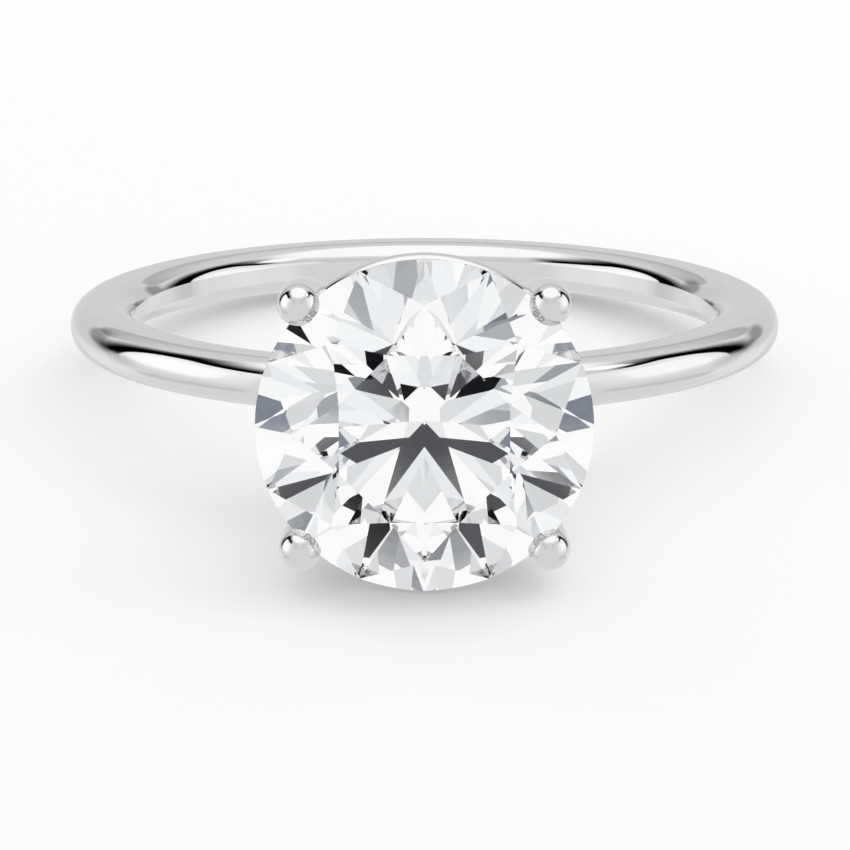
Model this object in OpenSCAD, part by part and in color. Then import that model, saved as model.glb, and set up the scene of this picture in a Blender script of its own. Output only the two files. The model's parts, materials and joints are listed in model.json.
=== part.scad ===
// Four-prong solitaire ring with a round brilliant, lying on its side.
//
// Frame: +Z is up, away from the surface that the ring lies on. The origin is the centre of the
// finger hole. The stone faces -Y. The ring rests on its gallery rail and on the far side of its
// shank, so the plane of the shank is tilted about X and the axis of the finger hole leans from +Z.

/* [Shank] */
// Inside diameter of the finger hole
finger_d = 16.92; // [15:0.01:20]
// Thickness of the shank, from the finger hole outwards
shank_t = 1.83; // [1.7:0.01:2.2]
// Width of the shank, along the finger
shank_w = 1.4; // [1.36:0.01:1.6]
// Radius of the rounded edges of the shank
shank_edge_r = 0.68; // [0.62:0.01:0.68]
// Width of the flat wall inside the finger hole, which cuts the inner edges short
inner_flat = 0.46; // [0.44:0.01:0.6]

/* [Stone] */
// Diameter of the stone at its girdle
stone_d = 8.84; // [8.6:0.01:9]
// Thickness of the girdle
girdle_t = 0.2; // [0.1:0.01:0.3]
// Distance of the middle of the girdle from the outside of the shank
girdle_rise = 3.93; // [3.9:0.01:4.4]
// Width of the table, corner to corner, as a share of the stone's diameter
table_share = 0.54; // [0.53:0.01:0.62]
// Angle of the eight main crown facets above the girdle
crown_angle = 36.5; // [33:0.1:38]
// Angle of the eight main pavilion facets below the girdle
pavilion_angle = 40.1; // [40:0.1:41]
// Length of the star facets, as a share of the way from the table to the girdle
star_share = 0.54; // [0.4:0.01:0.6]
// Length of the lower girdle facets, as a share of the way from the girdle to the culet
lower_share = 0.8; // [0.7:0.01:0.85]

/* [Prongs] */
// Diameter of the prong wire and of its round tip
prong_d = 1.11; // [1:0.01:1.15]
// Distance of the centre of a prong tip from the axis of the head
prong_reach = 4.61; // [4.58:0.01:4.65]
// Height of the centre of a prong tip above the middle of the girdle
tip_rise = 0.18; // [0.1:0.01:0.25]
// Straight length of wire below the middle of the girdle, before the wire curves inwards
prong_straight = 0.2; // [0.1:0.01:0.3]
// Radius of the inward curve of the prong wire
prong_bend_r = 3.6; // [3.55:0.01:3.65]

/* [Rails] */
// Outside diameter of the gallery rail
rail_d = 8.58; // [8.4:0.01:8.6]
// Thickness of the gallery rail, from its inside to its outside
rail_t = 0.7; // [0.5:0.01:0.8]
// Height of the gallery rail, along the axis of the head
rail_h = 0.7; // [0.5:0.01:0.8]
// Distance of the middle of the gallery rail below the middle of the girdle
rail_drop = 1.62; // [1.5:0.01:1.8]
// Outside diameter of the base ring
base_d = 2.9; // [2.7:0.01:3.1]
// Inside diameter of the base ring
base_bore = 1.7; // [1.6:0.01:1.8]
// Height of the top of the base ring above the outside of the shank
base_rise = 0.62; // [0.5:0.01:0.64]
// Depth that the base ring reaches down beside the shank
base_skirt = 0.45; // [0.3:0.01:0.6]

/* [Hidden] */

$fn = 96;
white_metal = "gainsboro";
stone_colour = "aliceblue";
// Larger than the whole ring, for blocks that cut facets
beyond = 40;
// Facets repeat every eighth of a turn, and girdle facets every sixteenth
eighth = 360 / 8;
sixteenth = 360 / 16;

// Shank
hole_r = finger_d / 2;
shank_r = hole_r + shank_t;
wall_edge_z = shank_w / 2 - shank_edge_r;
// Angle of the inner edges' arcs that the flat wall cuts off
crease = asin((inner_flat / 2 - wall_edge_z) / shank_edge_r);
relief_r = 0.4;
relief_depth = 0.35;

// Heights along the axis of the head are measured from the centre of the finger hole
stone_r = stone_d / 2;
girdle_z = shank_r + girdle_rise;
tip_z = girdle_z + tip_rise;
bend_z = girdle_z - prong_straight;
rail_r = rail_d / 2;
rail_z = girdle_z - rail_drop;
rail_edge_r = 0.3;
base_top_z = shank_r + base_rise;
base_edge_r = 0.12;
wire_r = prong_d / 2;
// Angle of the inward curve at which the wire's centre line has reached the base ring's wall
bend_centre_r = prong_reach - prong_bend_r;
bend_angle = acos((base_d / 2 - 0.2 - bend_centre_r) / prong_bend_r);

// Crown: a star facet's tip is where the star, two mains and two upper girdle facets meet
star_r = table_share * cos(eighth / 2) + star_share * (1 - table_share * cos(eighth / 2));
star_tip_rise = (1 - star_r * cos(eighth / 2)) * tan(crown_angle);
table_rise = (1 - table_share) * tan(crown_angle);
star_slope = atan((table_rise - star_tip_rise) / (star_r - table_share * cos(eighth / 2)));
chord_r = cos(sixteenth / 2);
upper_slope = atan(star_tip_rise / (chord_r * (1 - star_r)));
// Pavilion: the lower girdle facets of two neighbours meet in a point this far from the axis
lower_r = 1 - lower_share;
lower_tip_drop = (1 - lower_r * cos(eighth / 2)) * tan(pavilion_angle);
lower_slope = atan(lower_tip_drop / (chord_r * (1 - lower_r)));
// Steepest profiles of crown and pavilion next to the girdle, which the prong seats follow
seat_crown = star_tip_rise / (1 - star_r);
seat_pavilion = lower_tip_drop / (1 - lower_r);
seat_depth = 1.2;

// Tilt at which the gallery rail's lowest edge is level with the far side of the shank's
shank_core_r = shank_r - shank_edge_r;
rail_core_z = rail_z - (rail_h / 2 - rail_edge_r);
rail_core_r = rail_r - rail_edge_r;
arm = rail_core_z + shank_core_r;
lift = rail_core_r - wall_edge_z;
tilt = atan2(lift, arm) - asin((shank_edge_r - rail_edge_r) / norm([arm, lift]));

// A rectangle from [x0, y0] to [x1, y1] whose corners are rounded: r0 on the x0 side, r1 on the other
module soft_rect(x0, x1, y0, y1, r0, r1) {
    mid = (x0 + x1) / 2;
    union() {
        translate([x0 + r0, y0]) square([mid - x0 - r0, y1 - y0]);
        translate([mid, y0]) square([x1 - r1 - mid, y1 - y0]);
        translate([x0, y0 + r0]) square([r0, y1 - y0 - 2 * r0]);
        translate([x1 - r1, y0 + r1]) square([r1, y1 - y0 - 2 * r1]);
        for (y = [y0 + r0, y1 - r0]) translate([x0 + r0, y]) circle(r0);
        for (y = [y0 + r1, y1 - r1]) translate([x1 - r1, y]) circle(r1);
    }
}

// Lays the ring down: the head end rises until rail and shank both touch the surface
module lying() {
    rotate([-tilt, 0, 0]) children();
}

// Puts a piece drawn round +Z onto the axis of the head, which points to -Y
module on_head() {
    lying() rotate([90, 0, 0]) children();
}

// Points along one rounded edge of the shank, about a centre in (radius, height)
function edge_points(centre_r, centre_z, start, end, steps = 18) = [
    for (i = [0:steps]) let (a = start + (end - start) * i / steps)
        [centre_r + shank_edge_r * cos(a), centre_z + shank_edge_r * sin(a)]
];

module shank_solid() {
    inner_core_r = hole_r + shank_edge_r * cos(crease);
    rotate_extrude() polygon(concat(
        edge_points(shank_core_r, -wall_edge_z, -90, 0),
        edge_points(shank_core_r, wall_edge_z, 0, 90),
        edge_points(inner_core_r, wall_edge_z, 90, 180 - crease),
        edge_points(inner_core_r, -wall_edge_z, 180 + crease, 270)
    ));
}

module shank() {
    color(white_metal) lying() difference() {
        shank_solid();
        rotate([90, 0, 0]) translate([0, 0, shank_r - relief_depth])
            cylinder(h = relief_depth * 2, r1 = 0, r2 = relief_r * 2);
    }
}

// Collar whose foot is cut to the shank that it straddles
module base_ring_solid() {
    foot_z = shank_r - base_skirt;
    rotate_extrude()
        soft_rect(base_bore / 2, base_d / 2, foot_z, base_top_z, base_edge_r, base_edge_r);
}

module base_ring() {
    color(white_metal) difference() {
        on_head() base_ring_solid();
        lying() shank_solid();
    }
}

module gallery_rail_solid() {
    rotate_extrude()
        soft_rect(rail_r - rail_t, rail_r, rail_z - rail_h / 2, rail_z + rail_h / 2,
                  rail_edge_r, rail_edge_r);
}

module gallery_rail() {
    color(white_metal) on_head() gallery_rail_solid();
}

// Ring-shaped groove that takes the girdle
module seat() {
    inner = stone_r - seat_depth;
    rotate_extrude() translate([0, girdle_z]) polygon([
        [inner, girdle_t / 2 + seat_depth * seat_crown],
        [stone_r, girdle_t / 2],
        [stone_r, -girdle_t / 2],
        [inner, -girdle_t / 2 - seat_depth * seat_pavilion]
    ]);
}

// One prong: round tip, straight wire past the girdle, then a curve in to the base ring
module prong(side) {
    color(white_metal) on_head() difference() {
        rotate([0, 0, side]) union() {
            translate([prong_reach, 0, tip_z]) sphere(wire_r);
            translate([prong_reach, 0, bend_z]) cylinder(h = tip_z - bend_z, r = wire_r);
            translate([bend_centre_r, 0, bend_z]) rotate([-90, 0, 0])
                rotate_extrude(angle = bend_angle) translate([prong_bend_r, 0]) circle(wire_r);
        }
        seat();
        gallery_rail_solid();
        translate([0, 0, shank_r - base_skirt]) cylinder(h = beyond, r = base_d / 2);
    }
}

module prong_upper_right() { prong(45); }
module prong_upper_left() { prong(135); }
module prong_lower_left() { prong(225); }
module prong_lower_right() { prong(315); }

// Takes away everything above a plane that slopes down outwards and cuts the plane of the girdle
// at radius r, in units of the stone's radius
module facet(turn, r, slope, height) {
    rotate([0, 0, turn]) translate([r * stone_r, 0, height]) rotate([0, slope, 0])
        translate([-beyond / 2, -beyond / 2, 0]) cube(beyond);
}

module crown_facets() {
    for (i = [0:7]) {
        facet((i + 0.5) * eighth, 1, crown_angle, girdle_t / 2);
        facet(i * eighth, table_share * cos(eighth / 2), star_slope,
              girdle_t / 2 + table_rise * stone_r);
    }
    for (i = [0:15]) facet((i + 0.5) * sixteenth, chord_r, upper_slope, girdle_t / 2);
}

module pavilion_facets() {
    for (i = [0:7]) facet((i + 0.5) * eighth, 1, pavilion_angle, girdle_t / 2);
    for (i = [0:15]) facet((i + 0.5) * sixteenth, chord_r, lower_slope, girdle_t / 2);
}

module center_stone() {
    color(stone_colour) on_head() translate([0, 0, girdle_z]) difference() {
        translate([0, 0, -stone_r]) cylinder(h = stone_r + girdle_t / 2 + table_rise * stone_r, r = stone_r);
        crown_facets();
        mirror([0, 0, 1]) pavilion_facets();
    }
}

shank();
base_ring();
gallery_rail();
prong_upper_left();
prong_upper_right();
prong_lower_left();
prong_lower_right();
center_stone();
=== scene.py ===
"""Looks of a four-prong solitaire ring with a round brilliant, lying on a pale surface.

Shapes are drawn in millimetres, in the frame of the shank (Z along the finger) or of the head
(Z from the finger hole to the stone's table), then laid down and scaled to the metres of the frame.
"""

import json
import math

import bmesh
import bpy
from mathutils import Matrix, Vector


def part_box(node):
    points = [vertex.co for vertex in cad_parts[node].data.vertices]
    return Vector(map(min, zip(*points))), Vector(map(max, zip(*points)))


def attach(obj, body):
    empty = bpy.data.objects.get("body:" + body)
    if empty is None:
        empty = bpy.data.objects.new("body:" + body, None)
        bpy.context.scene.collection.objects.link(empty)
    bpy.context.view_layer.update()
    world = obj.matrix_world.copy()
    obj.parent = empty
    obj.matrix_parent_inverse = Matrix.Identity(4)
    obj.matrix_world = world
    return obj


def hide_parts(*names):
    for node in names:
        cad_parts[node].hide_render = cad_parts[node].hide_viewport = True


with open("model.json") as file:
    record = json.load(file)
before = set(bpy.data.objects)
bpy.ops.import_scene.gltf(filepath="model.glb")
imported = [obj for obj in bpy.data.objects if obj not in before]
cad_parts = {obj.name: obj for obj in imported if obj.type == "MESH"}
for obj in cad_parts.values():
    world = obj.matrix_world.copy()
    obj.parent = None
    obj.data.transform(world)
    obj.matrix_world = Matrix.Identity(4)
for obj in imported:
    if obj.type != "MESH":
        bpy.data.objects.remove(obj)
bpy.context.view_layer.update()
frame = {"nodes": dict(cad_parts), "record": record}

MM = 0.001

# ---------------------------------------------------------------- dimensions, in millimetres

finger_hole = next(m for m in frame["record"]["mounts"] if m["name"] == "finger_hole")
HOLE_R = finger_hole["dims"]["r_mm"]
TILT = math.atan2(finger_hole["axis"][1], finger_hole["axis"][2])
FLOOR_Z = min(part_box(node)[0].z for node in frame["nodes"]) / MM

SHANK_T = 1.83
SHANK_W = 1.4
SHANK_EDGE = 0.68
INNER_FLAT = 0.46
SHANK_R = HOLE_R + SHANK_T
RELIEF_R = 0.4
RELIEF_DEPTH = 0.35

# The table's width is a share of the stone's. The star facets reach over a share of the way from
# the table's edge to the girdle, and the lower girdle facets of the way from girdle to culet.
STONE_R = 4.42
GIRDLE_T = 0.2
GIRDLE_Z = SHANK_R + 3.93
TABLE_SHARE = 0.54
CROWN_ANGLE = math.radians(36.5)
PAVILION_ANGLE = math.radians(40.1)
STAR_SHARE = 0.54
LOWER_SHARE = 0.8

# Azimuths round the head's axis, in degrees
PRONG_SIDES = {"upper_right": 45, "upper_left": 135, "lower_left": 225, "lower_right": 315}
WIRE_R = 0.555
PRONG_REACH = 4.61
TIP_Z = GIRDLE_Z + 0.18
BEND_Z = GIRDLE_Z - 0.2
BEND_R = 3.6
SEAT_DEPTH = 1.2

RAIL_R = 4.29
RAIL_T = 0.7
RAIL_H = 0.7
RAIL_Z = GIRDLE_Z - 1.62
RAIL_EDGE = 0.3

BASE_R = 1.45
BASE_BORE_R = 0.85
BASE_TOP_Z = SHANK_R + 0.62
BASE_FOOT_Z = SHANK_R - 0.45
BASE_EDGE = 0.12
PRONG_FOOT_R = BASE_R - 0.2

# ---------------------------------------------------------------- angles and smoothness

QUARTER = math.pi / 2
EIGHTH = math.pi / 4
SIXTEENTH = math.pi / 8

SHANK_SEGMENTS = 384
BASE_SEGMENTS = 128
RAIL_SEGMENTS = 320
GIRDLE_SEGMENTS = 256
WIRE_SEGMENTS = 48

# Edges that fold by more than this many degrees stay sharp; the shank's crease is a shallow one
SHARP = 40
SHANK_SHARP = 14
PRONG_SHARP = 30

# ---------------------------------------------------------------- places

# The shank lies tilted by TILT about X, and the head's axis is the shank's own -Y
LYING = Matrix.Scale(MM, 4) @ Matrix.Rotation(-TILT, 4, "X")
ON_HEAD = LYING @ Matrix.Rotation(QUARTER, 4, "X")

# ---------------------------------------------------------------- mesh helpers


def finish_mesh(name, bm, place, sharp_angle):
    """Puts a bmesh drawn in millimetres into the scene; edges above sharp_angle stay sharp."""
    bm.transform(place)
    bmesh.ops.recalc_face_normals(bm, faces=bm.faces)
    mesh = bpy.data.meshes.new(name)
    bm.to_mesh(mesh)
    bm.free()
    mesh.shade_smooth()
    if sharp_angle is not None:
        mesh.set_sharp_from_angle(angle=math.radians(sharp_angle))
    obj = bpy.data.objects.new(name, mesh)
    bpy.context.scene.collection.objects.link(obj)
    return obj


def arc(centre, radius, start, end, steps):
    """Points on an arc from start to end, both in radians."""
    turns = [start + (end - start) * i / steps for i in range(steps + 1)]
    return [(centre[0] + radius * math.cos(t), centre[1] + radius * math.sin(t)) for t in turns]


def with_straight_runs(outline, spacing):
    """The closed outline with points added where two neighbours are further apart than spacing."""
    points = []
    for start, end in zip(outline, outline[1:] + outline[:1]):
        pieces = max(1, math.ceil(math.dist(start, end) / spacing))
        for i in range(pieces):
            share = i / pieces
            points.append(tuple(a + (b - a) * share for a, b in zip(start, end)))
    return points


def soft_rectangle(r_in, r_out, z_low, z_high, edge, steps):
    """Closed outline of a rectangle in (radius, height) with rounded corners."""
    outline = []
    outline += arc((r_out - edge, z_low + edge), edge, -QUARTER, 0, steps)
    outline += arc((r_out - edge, z_high - edge), edge, 0, QUARTER, steps)
    outline += arc((r_in + edge, z_high - edge), edge, QUARTER, 2 * QUARTER, steps)
    outline += arc((r_in + edge, z_low + edge), edge, 2 * QUARTER, 3 * QUARTER, steps)
    step_length = edge * QUARTER / steps
    return with_straight_runs(outline, 1.6 * step_length)


def revolved(outline, segments):
    """A bmesh of a closed outline in (radius, height) turned about Z."""
    bm = bmesh.new()
    rings = []
    for i in range(segments):
        turn = 2 * math.pi * i / segments
        c, s = math.cos(turn), math.sin(turn)
        rings.append([bm.verts.new((r * c, r * s, z)) for r, z in outline])
    for ring, following in zip(rings, rings[1:] + rings[:1]):
        for i, (a, b) in enumerate(zip(ring, following)):
            j = (i + 1) % len(ring)
            bm.faces.new((a, b, following[j], ring[j]))
    return bm


def cut(obj, *cutters):
    """Takes the cutters' volumes from obj and removes the cutters."""
    for cutter in cutters:
        modifier = obj.modifiers.new("cut", "BOOLEAN")
        modifier.operation = "DIFFERENCE"
        modifier.solver = "EXACT"
        modifier.object = cutter
    graph = bpy.context.evaluated_depsgraph_get()
    made = bpy.data.meshes.new_from_object(obj.evaluated_get(graph))
    obj.modifiers.clear()
    obj.data = made
    for cutter in cutters:
        bpy.data.objects.remove(cutter)


# ---------------------------------------------------------------- metal pieces


def shank_outline():
    """Rounded all over, but for the flat wall that cuts the inner edges' arcs short."""
    top = SHANK_W / 2 - SHANK_EDGE
    crease = math.asin((INNER_FLAT / 2 - top) / SHANK_EDGE)
    outer = SHANK_R - SHANK_EDGE
    inner = HOLE_R + SHANK_EDGE * math.cos(crease)
    outer_steps, inner_steps, longest_run = 18, 14, 0.08
    outline = []
    outline += arc((outer, -top), SHANK_EDGE, -QUARTER, 0, outer_steps)
    outline += arc((outer, top), SHANK_EDGE, 0, QUARTER, outer_steps)
    outline += arc((inner, top), SHANK_EDGE, QUARTER, 2 * QUARTER - crease, inner_steps)
    outline += arc((inner, -top), SHANK_EDGE, 2 * QUARTER + crease, 3 * QUARTER, inner_steps)
    return with_straight_runs(outline, longest_run)


def shank_mesh():
    return revolved(shank_outline(), SHANK_SEGMENTS)


def make_shank():
    shank = finish_mesh("shank_band", shank_mesh(), LYING, SHANK_SHARP)
    cut(shank, relief_cutter())
    return shank


def relief_cutter():
    """A cone twice as deep and wide as the relief, whose lower half is in the shank."""
    bm = bmesh.new()
    bmesh.ops.create_cone(bm, segments=48, cap_ends=True, radius1=0, radius2=RELIEF_R * 2,
                          depth=RELIEF_DEPTH * 2)
    bm.transform(Matrix.Translation((0, 0, SHANK_R)))
    return finish_mesh("relief_cutter", bm, ON_HEAD, None)


def make_base_ring():
    outline = soft_rectangle(BASE_BORE_R, BASE_R, BASE_FOOT_Z, BASE_TOP_Z, BASE_EDGE, steps=6)
    ring = finish_mesh("base_collar", revolved(outline, BASE_SEGMENTS), ON_HEAD, SHARP)
    cut(ring, finish_mesh("shank_cutter", shank_mesh(), LYING, SHARP))
    return ring


def rail_mesh():
    rail_low, rail_high = RAIL_Z - RAIL_H / 2, RAIL_Z + RAIL_H / 2
    outline = soft_rectangle(RAIL_R - RAIL_T, RAIL_R, rail_low, rail_high, RAIL_EDGE, steps=14)
    return revolved(outline, RAIL_SEGMENTS)


def make_rail():
    return finish_mesh("gallery_rail_loop", rail_mesh(), ON_HEAD, SHARP)


def wire_centre_line():
    """Points (radius, height) and directions down a prong, from the equator of its tip."""
    line = [((PRONG_REACH, TIP_Z), 0.0)]
    line.append(((PRONG_REACH, (TIP_Z + BEND_Z) / 2), 0.0))
    centre_r = PRONG_REACH - BEND_R
    end = math.acos((PRONG_FOOT_R - centre_r) / BEND_R)
    steps = 48
    for i in range(steps + 1):
        turn = end * i / steps
        point = (centre_r + BEND_R * math.cos(turn), BEND_Z - BEND_R * math.sin(turn))
        line.append((point, turn))
    return line


def prong_mesh(side):
    """A prong's wire with its round tip, at azimuth side of the head."""
    bm = bmesh.new()
    around = WIRE_SEGMENTS
    rings = []
    tip_steps = 16
    for i in range(1, tip_steps):
        lift = QUARTER * (1 - i / tip_steps)
        height = TIP_Z + WIRE_R * math.sin(lift)
        rings.append(((PRONG_REACH, height), 0.0, WIRE_R * math.cos(lift)))
    rings += [(point, turn, WIRE_R) for point, turn in wire_centre_line()]
    made = []
    for (r, z), turn, radius in rings:
        ring = []
        for j in range(around):
            a = 2 * math.pi * j / around
            out = radius * math.cos(a)
            ring.append(bm.verts.new((
                r + out * math.cos(turn), radius * math.sin(a), z - out * math.sin(turn))))
        made.append(ring)
    top = bm.verts.new((PRONG_REACH, 0, TIP_Z + WIRE_R))
    for j in range(around):
        bm.faces.new((top, made[0][j], made[0][(j + 1) % around]))
    for ring, following in zip(made, made[1:]):
        for j in range(around):
            k = (j + 1) % around
            bm.faces.new((ring[j], following[j], following[k], ring[k]))
    bm.faces.new(made[-1])
    bm.transform(Matrix.Rotation(side, 4, "Z"))
    return bm


def seat_cutter():
    """Ring-shaped groove that takes the girdle."""
    star_r, star_tip_rise = star_tip()
    lower_r, lower_tip_drop = lower_tip()
    inner = STONE_R - SEAT_DEPTH
    half = GIRDLE_T / 2
    outline = [
        (inner, GIRDLE_Z + half + SEAT_DEPTH * star_tip_rise / (1 - star_r)),
        (STONE_R, GIRDLE_Z + half),
        (STONE_R, GIRDLE_Z - half),
        (inner, GIRDLE_Z - half - SEAT_DEPTH * lower_tip_drop / (1 - lower_r)),
    ]
    return finish_mesh("seat_cutter", revolved(outline, 2 * GIRDLE_SEGMENTS), ON_HEAD, None)


def base_cutter():
    """The base ring's full round, which clears the inside of the basket from its foot upwards."""
    bm = bmesh.new()
    height = 12
    bmesh.ops.create_cone(bm, segments=BASE_SEGMENTS, cap_ends=True, radius1=BASE_R,
                          radius2=BASE_R, depth=height)
    bm.transform(Matrix.Translation((0, 0, BASE_FOOT_Z + height / 2)))
    return finish_mesh("base_cutter", bm, ON_HEAD, None)


def make_prong(name, side):
    """A prong that ends on the base ring, with room for the stone's girdle and the rail."""
    prong = finish_mesh(name, prong_mesh(side), ON_HEAD, None)
    rail = finish_mesh("rail_cutter", rail_mesh(), ON_HEAD, None)
    cut(prong, seat_cutter(), rail, base_cutter())
    prong.data.shade_smooth()
    prong.data.set_sharp_from_angle(angle=math.radians(PRONG_SHARP))
    return prong


# ---------------------------------------------------------------- the stone


def star_tip():
    """Radius and rise of the points where the star facets end, in units of the stone's radius."""
    flat = TABLE_SHARE * math.cos(SIXTEENTH)
    star_r = flat + STAR_SHARE * (1 - flat)
    return star_r, (1 - star_r * math.cos(SIXTEENTH)) * math.tan(CROWN_ANGLE)


def lower_tip():
    """Radius and drop of the points where neighbouring lower girdle facets end."""
    lower_r = 1 - LOWER_SHARE
    return lower_r, (1 - lower_r * math.cos(SIXTEENTH)) * math.tan(PAVILION_ANGLE)


def cut_facet(bm, turn, r, slope, height, side):
    """Cuts a flat facet through a point at azimuth turn, r radii out and height from the girdle's
    middle; side is 1 on the crown and -1 on the pavilion."""
    outwards = Vector((math.cos(turn), math.sin(turn), 0))
    normal = outwards * math.sin(slope) + Vector((0, 0, side * math.cos(slope)))
    point = outwards * (r * STONE_R) + Vector((0, 0, side * height))
    geometry = bm.verts[:] + bm.edges[:] + bm.faces[:]
    made = bmesh.ops.bisect_plane(bm, geom=geometry, dist=1e-5, plane_co=point, plane_no=normal,
                                  clear_outer=True)
    rim = [e for e in made["geom_cut"] if isinstance(e, bmesh.types.BMEdge)]
    open_rim = [e for e in rim if e.is_boundary]
    if open_rim:
        bmesh.ops.edgeloop_fill(bm, edges=open_rim)


def stone_mesh():
    star_r, star_tip_rise = star_tip()
    lower_r, lower_tip_drop = lower_tip()
    flat = TABLE_SHARE * math.cos(SIXTEENTH)
    chord = math.cos(SIXTEENTH / 2)
    table_rise = (1 - TABLE_SHARE) * math.tan(CROWN_ANGLE)
    star_slope = math.atan((table_rise - star_tip_rise) / (star_r - flat))
    upper_slope = math.atan(star_tip_rise / (chord * (1 - star_r)))
    lower_slope = math.atan(lower_tip_drop / (chord * (1 - lower_r)))
    half = GIRDLE_T / 2
    table_z = half + table_rise * STONE_R
    bm = bmesh.new()
    bmesh.ops.create_cone(bm, segments=GIRDLE_SEGMENTS, cap_ends=True, radius1=STONE_R,
                          radius2=STONE_R, depth=table_z + STONE_R)
    bm.transform(Matrix.Translation((0, 0, (table_z - STONE_R) / 2)))
    for i in range(8):
        cut_facet(bm, (i + 0.5) * EIGHTH, 1, CROWN_ANGLE, half, 1)
        cut_facet(bm, (i + 0.5) * EIGHTH, 1, PAVILION_ANGLE, half, -1)
    for i in range(8):
        cut_facet(bm, i * EIGHTH, flat, star_slope, table_z, 1)
    for i in range(16):
        cut_facet(bm, (i + 0.5) * SIXTEENTH, chord, upper_slope, half, 1)
        cut_facet(bm, (i + 0.5) * SIXTEENTH, chord, lower_slope, half, -1)
    bmesh.ops.remove_doubles(bm, verts=bm.verts, dist=1e-4)
    bm.transform(Matrix.Translation((0, 0, GIRDLE_Z)))
    return bm


def make_stone():
    """The stone; the faces that stand along its axis are the girdle, with the second material."""
    most_lean = 0.1
    stone = finish_mesh("round_brilliant", stone_mesh(), ON_HEAD, None)
    stone.data.shade_flat()
    head_axis = (ON_HEAD.to_3x3() @ Vector((0, 0, 1))).normalized()
    for face in stone.data.polygons:
        face.material_index = int(abs(face.normal.dot(head_axis)) < most_lean)
    return stone


# ---------------------------------------------------------------- materials


def node(tree, kind, **inputs):
    """Adds a node and sets its inputs by name."""
    made = tree.nodes.new(kind)
    for key, value in inputs.items():
        made.inputs[key.replace("_", " ")].default_value = value
    return made


def math_node(tree, operation, first, second):
    """Adds a Math node; each operand is a socket or a number."""
    made = tree.nodes.new("ShaderNodeMath")
    made.operation = operation
    for socket, operand in zip(made.inputs, (first, second)):
        if isinstance(operand, bpy.types.NodeSocket):
            tree.links.new(operand, socket)
        else:
            socket.default_value = operand
    return made.outputs[0]


def ramped(tree, value, source, target, smooth=False):
    """Adds a Map Range node, from the source range to the target range, and gives its output."""
    made = node(tree, "ShaderNodeMapRange", From_Min=source[0], From_Max=source[1],
                To_Min=target[0], To_Max=target[1])
    if smooth:
        made.interpolation_type = "SMOOTHSTEP"
    tree.links.new(value, made.inputs["Value"])
    return made.outputs["Result"]


def new_material(name):
    material = bpy.data.materials.new(name)
    material.use_nodes = True
    return material, material.node_tree, material.node_tree.nodes["Principled BSDF"]


def noise(tree, scale, detail):
    """Noise fixed to the piece, scale in features per metre."""
    coordinates = tree.nodes.new("ShaderNodeTexCoord")
    made = node(tree, "ShaderNodeTexNoise", Scale=scale, Detail=detail)
    tree.links.new(coordinates.outputs["Object"], made.inputs["Vector"])
    return made.outputs["Fac"]


def add_bump(tree, shader, pattern, strength, height):
    """Raises the surface by the pattern, up to height in metres."""
    bump = node(tree, "ShaderNodeBump", Strength=strength, Distance=height)
    tree.links.new(pattern, bump.inputs["Height"])
    tree.links.new(bump.outputs["Normal"], shader.inputs["Normal"])


def polished_metal():
    """Mirror-polished white metal with the faint unevenness that a polishing wheel leaves."""
    material, tree, shader = new_material("polished_white_metal")
    shader.inputs["Metallic"].default_value = 1.0
    shader.inputs["Base Color"].default_value = (0.74, 0.74, 0.745, 1)
    haze = ramped(tree, noise(tree, scale=700, detail=5), (0.3, 0.7), (0.015, 0.06))
    tree.links.new(haze, shader.inputs["Roughness"])
    add_bump(tree, shader, noise(tree, scale=2600, detail=3), strength=0.02, height=20e-6)
    return material


def diamond(name):
    """Starts a material with the colour and refraction of a diamond."""
    material, tree, shader = new_material(name)
    shader.inputs["Base Color"].default_value = (1, 1, 1, 1)
    shader.inputs["Transmission Weight"].default_value = 1.0
    shader.inputs["IOR"].default_value = 2.42
    return material, tree, shader


def polished_facets():
    """The facets, with the faint wave that graining leaves in a diamond's polish."""
    material, tree, shader = diamond("clear_brilliant")
    shader.inputs["Specular Tint"].default_value = (0.03, 0.03, 0.03, 1)
    haze = ramped(tree, noise(tree, scale=1500, detail=4), (0.35, 0.65), (0, 0.02))
    tree.links.new(haze, shader.inputs["Roughness"])
    add_bump(tree, shader, noise(tree, scale=500, detail=3), strength=1.0, height=0.5e-6)
    return material


def bruted_girdle():
    """The frosted edge between crown and pavilion, ground but not polished."""
    material, tree, shader = diamond("bruted_girdle")
    frost = ramped(tree, noise(tree, scale=9000, detail=6), (0.3, 0.7), (0.25, 0.5))
    tree.links.new(frost, shader.inputs["Roughness"])
    add_bump(tree, shader, noise(tree, scale=14000, detail=4), strength=0.4, height=20e-6)
    return material


# ---------------------------------------------------------------- studio

# Directions are azimuth and elevation in degrees: 0 is behind the ring, 90 to its right, 180 is
# the camera's side. Patches of this sky are too far away to shift between one prong and the next;
# a patch on a lower layer is nearer and covers those above it.
SKY_R = 1200
LAYER_GAP = 10


def direction(azimuth, elevation):
    a, e = math.radians(azimuth), math.radians(elevation)
    return Vector((math.sin(a) * math.cos(e), math.cos(a) * math.cos(e), math.sin(e)))


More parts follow.
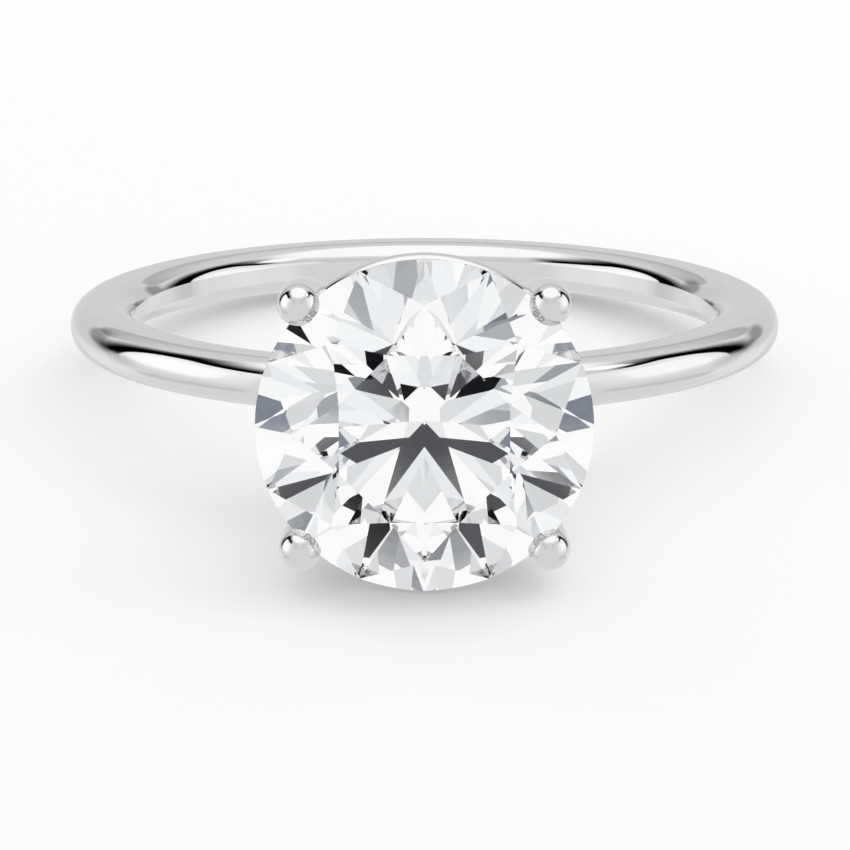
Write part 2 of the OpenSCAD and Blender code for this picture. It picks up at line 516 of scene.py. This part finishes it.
def patch_material(name, half, corner, soft, levels, ramp, cover, colour):
    """Glow in a rounded rectangle, from one level at the ramp's foot to the other at its top."""
    material = bpy.data.materials.new(name)
    material.use_nodes = True
    tree = material.node_tree
    tree.nodes.clear()
    place = tree.nodes.new("ShaderNodeUVMap")
    across = tree.nodes.new("ShaderNodeSeparateXYZ")
    tree.links.new(place.outputs["UV"], across.inputs["Vector"])
    beyond = []
    for axis in (0, 1):
        away = math_node(tree, "ABSOLUTE", across.outputs[axis], 0)
        past = math_node(tree, "SUBTRACT", away, half[axis] - corner)
        beyond.append(math_node(tree, "POWER", math_node(tree, "MAXIMUM", past, 0), 2))
    distance = math_node(tree, "SQRT", math_node(tree, "ADD", *beyond), 0)
    mask = ramped(tree, distance, (corner - soft, corner), (cover, 0), smooth=True)
    strength = ramped(tree, across.outputs[1], ramp, levels)
    glow = node(tree, "ShaderNodeEmission", Color=(*colour, 1))
    tree.links.new(strength, glow.inputs["Strength"])
    clear = tree.nodes.new("ShaderNodeBsdfTransparent")
    mix = tree.nodes.new("ShaderNodeMixShader")
    tree.links.new(mask, mix.inputs["Fac"])
    tree.links.new(clear.outputs["BSDF"], mix.inputs[1])
    tree.links.new(glow.outputs["Emission"], mix.inputs[2])
    output = tree.nodes.new("ShaderNodeOutputMaterial")
    tree.links.new(mix.outputs["Shader"], output.inputs["Surface"])
    return material


def sky_patch(name, azimuths, elevations, levels, ramp=None, corner=1.0, soft=1.0, cover=1.0,
              lean=0.0, layer=0, colour=(1, 1, 1), on_metal=True, in_stone=False):
    """A patch of sky that the metal's reflections see (on_metal), or the stone's facets (in_stone).

    Its brightness goes from the first level to the second over the ramp's elevations. cover is its
    opacity, corner the radius of its corners and soft the width of its faded edge, in degrees. It
    leans by that many degrees of azimuth for each degree of elevation. A patch that is given more
    than a full turn, or more than the zenith, has no edge there.
    """
    az_half = (azimuths[1] - azimuths[0]) / 2
    el_half = (elevations[1] - elevations[0]) / 2
    az_middle = sum(azimuths) / 2
    el_middle = sum(elevations) / 2
    az_reach = min(az_half, 180)
    el_top = min(elevations[1], 90)
    columns = max(2, round(az_reach))
    rows = max(2, round(el_half))
    bm = bmesh.new()
    spans = bm.loops.layers.uv.new("span")
    grid = {}
    for i in range(columns + 1):
        for j in range(rows + 1):
            u = az_reach * (2 * i / columns - 1)
            v = elevations[0] + (el_top - elevations[0]) * j / rows - el_middle
            away = direction(az_middle + u + lean * v, el_middle + v)
            vert = bm.verts.new(away * (SKY_R + LAYER_GAP * layer) * MM)
            grid[i, j] = (vert, (u, v))
    for i in range(columns):
        for j in range(rows):
            corners = [grid[i, j], grid[i + 1, j], grid[i + 1, j + 1], grid[i, j + 1]]
            face = bm.faces.new([vert for vert, span in corners])
            for loop, (vert, span) in zip(face.loops, corners):
                loop[spans].uv = span
    mesh = bpy.data.meshes.new(name)
    bm.to_mesh(mesh)
    bm.free()
    span = [elevation - el_middle for elevation in ramp or elevations]
    mesh.materials.append(
        patch_material(name, (az_half, el_half), corner, soft, levels, span, cover, colour))
    obj = bpy.data.objects.new(name, mesh)
    bpy.context.scene.collection.objects.link(obj)
    obj.visible_camera = False
    obj.visible_diffuse = False
    obj.visible_shadow = False
    obj.visible_glossy = on_metal
    obj.visible_transmission = in_stone


def make_floor():
    """A pale floor that glows a little, so that shadows on it stay light; metal doesn't see it."""
    reach = 1500
    mesh = bpy.data.meshes.new("floor")
    corners = [(-reach, -reach), (reach, -reach), (reach, reach), (-reach, reach)]
    mesh.from_pydata([Vector((x, y, FLOOR_Z)) * MM for x, y in corners], [], [(0, 1, 2, 3)])
    material, tree, shader = new_material("pale_floor")
    shader.inputs["Base Color"].default_value = (0.656, 0.656, 0.656, 1)
    shader.inputs["Emission Color"].default_value = (1, 1, 1, 1)
    shader.inputs["Emission Strength"].default_value = 0.373
    shader.inputs["Roughness"].default_value = 0.9
    shader.inputs["Specular IOR Level"].default_value = 0.0
    mesh.materials.append(material)
    floor = bpy.data.objects.new("floor", mesh)
    bpy.context.scene.collection.objects.link(floor)
    floor.visible_glossy = False


def area_light(name, azimuth, elevation, half_width, power):
    """A square light for the floor's shadows, which neither metal nor stone shows.

    It stands in the direction given and reaches half_width degrees to each side; power is in watts.
    """
    distance = 300
    data = bpy.data.lights.new(name, "AREA")
    data.size = 2 * distance * math.tan(math.radians(half_width)) * MM
    data.energy = power
    obj = bpy.data.objects.new(name, data)
    bpy.context.scene.collection.objects.link(obj)
    away = direction(azimuth, elevation)
    obj.location = away * distance * MM
    obj.rotation_mode = "QUATERNION"
    obj.rotation_quaternion = (-away).to_track_quat("-Z", "Y")
    obj.visible_camera = False
    obj.visible_glossy = False
    obj.visible_transmission = False


def make_metal_sky():
    """Two tall softboxes beside the ring, each in front of a black flag, below a white ceiling."""
    # Name, azimuths, elevations, levels, and the elevations between which the level changes
    sky_patch("walls_left", (-175, -33), (12, 70), (0.5, 0.85), (12, 50), corner=25, soft=25,
              layer=7)
    sky_patch("walls_right", (33, 175), (12, 70), (0.5, 0.85), (12, 50), corner=25, soft=25,
              layer=7)
    sky_patch("walls_back", (-42, 42), (13, 72), (0.5, 0.82), (14, 36), corner=8, soft=3, layer=6)
    sky_patch("backdrop", (-64, 64), (-18, 17), (0.75, 0.75), corner=9, soft=8, layer=7)
    sky_patch("ceiling", (-240, 240), (49, 140), (1.3, 1.4), (50, 90), corner=14, soft=14, layer=5)
    sky_patch("ground", (-88, 88), (-48, -8), (0.98, 0.98), corner=20, soft=20, layer=5)
    sky_patch("ground_ahead", (-42, 42), (-52, -8), (0.72, 0.72), corner=20, soft=20, layer=4.5)
    sky_patch("flag_left", (-128, -41), (-17, 60), (0, 0), corner=22, soft=17, layer=4)
    sky_patch("flag_right", (43, 106), (-17, 56), (0, 0), corner=20, soft=15, layer=4)
    sky_patch("corner_left", (-54, -30), (-7, 23), (0, 0), corner=9, soft=8, lean=1, cover=0.5,
              layer=3)
    sky_patch("corner_right", (29, 51), (-7, 17), (0, 0), corner=8, soft=7, lean=-1, cover=0.5,
              layer=3)
    sky_patch("foot_left", (-124, -66), (-40, -21), (0.7, 0.7), corner=9, soft=9, layer=3)
    sky_patch("foot_right", (66, 124), (-40, -21), (0.7, 0.7), corner=9, soft=9, layer=3)
    sky_patch("softbox_left", (-135, -65.5), (-16, 38), (0.95, 1.12), (-14, 10), corner=14,
              soft=1.5, layer=2)
    sky_patch("softbox_right", (66, 138), (-16, 39), (0.94, 1.04), (-14, 10), corner=12,
              soft=1.5, layer=2)
    sky_patch("softbox_left_front", (-82, -55), (-28, 4), (0.72, 0.72), corner=13, soft=13,
              cover=0.8, layer=0)
    sky_patch("softbox_right_front", (55, 82), (-28, 4), (0.72, 0.72), corner=13, soft=13,
              cover=0.8, layer=0)
    sky_patch("softbox_left_back", (-156, -118), (-22, 44), (0.87, 0.87), corner=14, soft=13,
              layer=0)
    sky_patch("softbox_right_back", (121, 159), (-22, 44), (0.87, 0.87), corner=14, soft=13,
              layer=0)
    sky_patch("softbox_left_core", (-117, -66), (-12, 35), (1.5, 1.5), corner=17, soft=14, layer=1)
    sky_patch("softbox_right_core", (66, 119), (-12, 36), (1.28, 1.28), corner=16, soft=14,
              layer=1)
    sky_patch("ceiling_gap_right", (76, 102), (43, 57), (1.5, 1.5), corner=6, soft=4, layer=3)


def round_card(name, azimuth, elevation, radius, level, cover, soft, layer, colour):
    """A round patch that only the stone sees."""
    wide = radius / math.cos(math.radians(elevation))
    sky_patch(name, (azimuth - wide, azimuth + wide), (elevation - radius, elevation + radius),
              (level, level), corner=radius, soft=soft, cover=cover, layer=layer, colour=colour,
              on_metal=False, in_stone=True)


def make_stone_sky():
    """The stone's own light tent, with dark shapes that its facets show as their dark pattern."""
    black, navy, violet = (0.45, 0.6, 1.0), (0.35, 0.55, 1.0), (0.45, 0.4, 1.0)
    white = (0.96, 0.98, 1.0)
    sky_patch("tent", (-240, 240), (-2, 100), (0.7, 1.3), (0, 75), corner=2, soft=2, layer=8,
              colour=white, on_metal=False, in_stone=True)
    # Name, azimuth, elevation, radius, level
    shades = (
        ("upper_left", -165, 48, 14, 0.6),
        ("upper_right", 148, 44, 13, 0.6),
        ("side_left", -100, 38, 15, 0.55),
        ("side_right", 112, 34, 15, 0.6),
        ("behind", 0, 60, 22, 0.65),
    )
    for name, azimuth, elevation, radius, level in shades:
        round_card("shade_" + name, azimuth, elevation, radius, level, cover=0.8, soft=5, layer=6,
                   colour=white)
    sky_patch("dark_camera", (157, 203), (7, 15.5), (0.012, 0.012), corner=4, soft=2.5,
              cover=0.91, layer=-1, colour=black, on_metal=False, in_stone=True)
    sky_patch("dark_camera_core", (158, 178), (6.8, 11.2), (0.003, 0.003), corner=2, soft=1,
              layer=-1.5, colour=black, on_metal=False, in_stone=True)
    # Name, azimuth, elevation, radius, cover, soft, level, colour
    spots = (
        ("top_front", 178, 66, 11, 0.88, 5, 0.12, navy),
        ("camera_above", 172, 30, 8, 0.65, 4, 0.05, navy),
        ("right_front", 151, 15, 6, 0.7, 3, 0.04, navy),
        ("left_front", -140, 27, 10, 0.55, 5, 0.05, navy),
        ("left_high", -129, 38, 9, 0.85, 3, 0.04, navy),
        ("left_side", -117, 10, 11, 0.7, 6, 0.1, violet),
        ("left_slot", -146, 15, 5, 1.0, 1.5, 0.003, black),
        ("right_slot", 169, 25, 3, 1.0, 1, 0.003, black),
    )
    for index, (name, azimuth, elevation, radius, cover, soft, level, colour) in enumerate(spots, 2):
        round_card("dark_" + name, azimuth, elevation, radius, level, cover, soft, layer=-index,
                   colour=colour)


def make_studio():
    make_metal_sky()
    make_stone_sky()
    world = bpy.data.worlds.new("studio")
    bpy.context.scene.world = world
    world.use_nodes = True
    background = world.node_tree.nodes["Background"]
    background.inputs["Color"].default_value = (1, 1, 1, 1)
    background.inputs["Strength"].default_value = 0.87
    # Name, azimuth, elevation, half width, power
    area_light("high_right", 90, 48, 14, 0.121)
    area_light("low_back_right", 45, 18, 9, 0.113)
    area_light("low_right", 90, 18, 9, 0.11)
    area_light("low_back_left", 315, 18, 9, 0.164)


def soft_white_point():
    """Lets the tones above the knee roll off just below pure white."""
    knee_level, white_level = 0.93, 0.95
    combined = 3
    view = bpy.context.scene.view_settings
    view.view_transform = "Standard"
    view.use_curve_mapping = True
    tones = view.curve_mapping.curves[combined]
    tones.points[-1].location = (1.0, white_level)
    knee = tones.points.new(knee_level, knee_level)
    for point in (tones.points[0], knee, tones.points[-1]):
        point.handle_type = "VECTOR"
    view.curve_mapping.update()


def make_camera():
    """A long lens in front of the ring, a little above the table's axis."""
    distance, sideways = 130.92, 0.014
    elevation, pitch = math.radians(20.39), math.radians(21.73)
    data = bpy.data.cameras.new("camera")
    data.sensor_width = 36
    data.lens = 190.1
    data.clip_start = 0.01
    data.clip_end = 10
    obj = bpy.data.objects.new("camera", data)
    bpy.context.scene.collection.objects.link(obj)
    place = Vector((sideways, -distance * math.cos(elevation), distance * math.sin(elevation)))
    obj.location = place * MM
    obj.rotation_euler = (QUARTER - pitch, 0, 0)
    bpy.context.scene.camera = obj


def set_light_paths():
    """Enough bounces for light to find its way out of the stone, and no caustics."""
    cycles = bpy.context.scene.cycles
    cycles.max_bounces = 24
    cycles.transmission_bounces = 24
    cycles.glossy_bounces = 12
    cycles.diffuse_bounces = 3
    cycles.caustics_reflective = False
    cycles.caustics_refractive = False


# ---------------------------------------------------------------- put together

metal = polished_metal()
metal_pieces = {
    "shank": make_shank(),
    "base_ring": make_base_ring(),
    "gallery_rail": make_rail(),
}
for place, side in PRONG_SIDES.items():
    metal_pieces["prong_" + place] = make_prong("prong_" + place + "_wire", math.radians(side))
for cad_node, piece in metal_pieces.items():
    piece.data.materials.clear()
    piece.data.materials.append(metal)
    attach(piece, "root")
    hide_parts(cad_node)
stone = make_stone()
stone.data.materials.append(polished_facets())
stone.data.materials.append(bruted_girdle())
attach(stone, "root")
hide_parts("center_stone")

make_floor()
make_studio()
make_camera()
soft_white_point()
set_light_paths()
